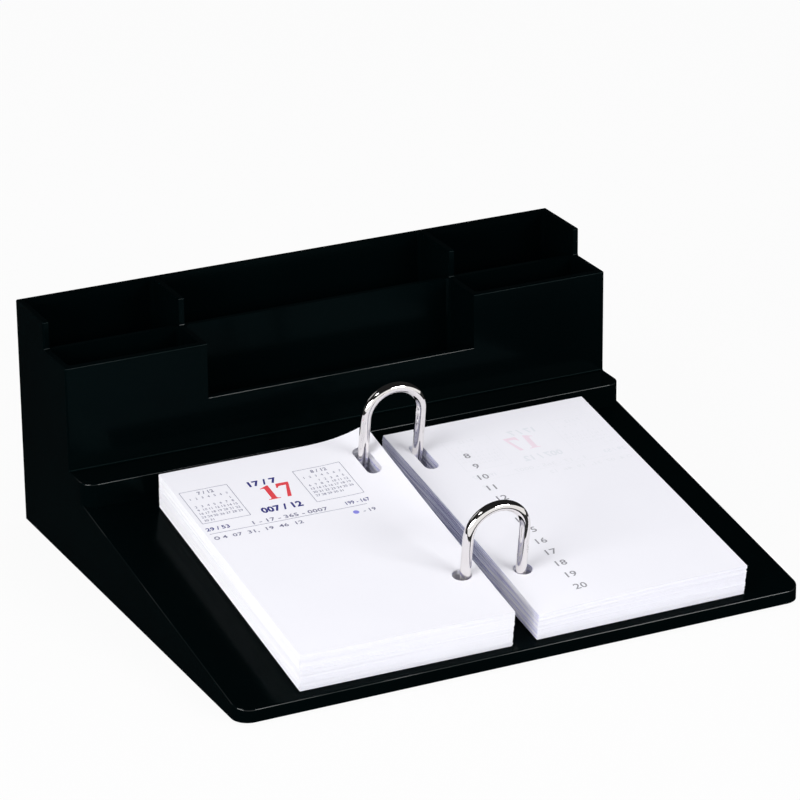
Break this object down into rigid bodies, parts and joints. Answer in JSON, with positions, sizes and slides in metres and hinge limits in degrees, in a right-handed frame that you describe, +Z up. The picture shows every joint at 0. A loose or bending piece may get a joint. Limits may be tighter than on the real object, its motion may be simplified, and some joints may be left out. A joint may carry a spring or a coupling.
{
  "type": "desk organizer with calendar tray",
  "caption": "Desk organizer with stepped pen and note compartments above a sloped tray, where two rod arches hold the punched leaves of a desk calendar.",
  "frame": {"origin": "centre of the footprint, on the desk", "axes": "+X to the right seen from the front, +Y to the back, +Z up; the tray faces -Y"},
  "size_m": [0.212, 0.189, 0.085],
  "materials": {
    "plastic": "glossy black moulded polystyrene",
    "nickel": "bright nickel-plated steel rod",
    "paper": "white uncoated paper",
    "rubber": "dull black rubber"
  },
  "bodies": {
    "stand": {"stand": "plastic", "foot_front_left": "rubber", "foot_front_right": "rubber", "foot_rear_left": "rubber", "foot_rear_right": "rubber"},
    "rear_arch": {"rear_arch": "nickel"},
    "front_arch": {"front_arch": "nickel"},
    "left_leaves": {"leaves_january": "paper", "leaves_february": "paper", "leaves_march": "paper", "leaves_april": "paper", "leaves_may": "paper", "leaves_june": "paper"},
    "left_top_leaves": {"leaves_july_turned": "paper"},
    "right_leaves": {"leaves_december": "paper", "leaves_november": "paper", "leaves_october": "paper", "leaves_september": "paper", "leaves_august": "paper"},
    "right_top_leaves": {"leaves_july_to_come": "paper"}
  },
  "joints": [
    {"name": "rear_arch_pull", "type": "slide", "parent": "stand", "child": "rear_arch", "axis": [0, -0.1649, 0.9863], "range_m": [-0.0015, 0.0285]},
    {"name": "front_arch_pull", "type": "slide", "parent": "stand", "child": "front_arch", "axis": [0, -0.1649, 0.9863], "range_m": [0, 0.03]},
    {"name": "left_leaves_slide", "type": "slide", "parent": "stand", "child": "left_leaves", "axis": [0, -0.1649, 0.9863], "range_m": [0, 0.012]},
    {"name": "right_leaves_slide", "type": "slide", "parent": "stand", "child": "right_leaves", "axis": [0, -0.1649, 0.9863], "range_m": [0, 0.014]},
    {"name": "left_top_leaves_lift", "type": "hinge", "parent": "left_leaves", "child": "left_top_leaves", "pos_m": [-0.0039, -0.03376, 0.02833], "axis": [0, 0.9863, 0.1649], "range_deg": [0, 15]},
    {"name": "right_top_leaves_lift", "type": "hinge", "parent": "right_leaves", "child": "right_top_leaves", "pos_m": [0.0039, -0.03343, 0.02637], "axis": [0, -0.9863, -0.1649], "range_deg": [0, 15]}
  ]
}
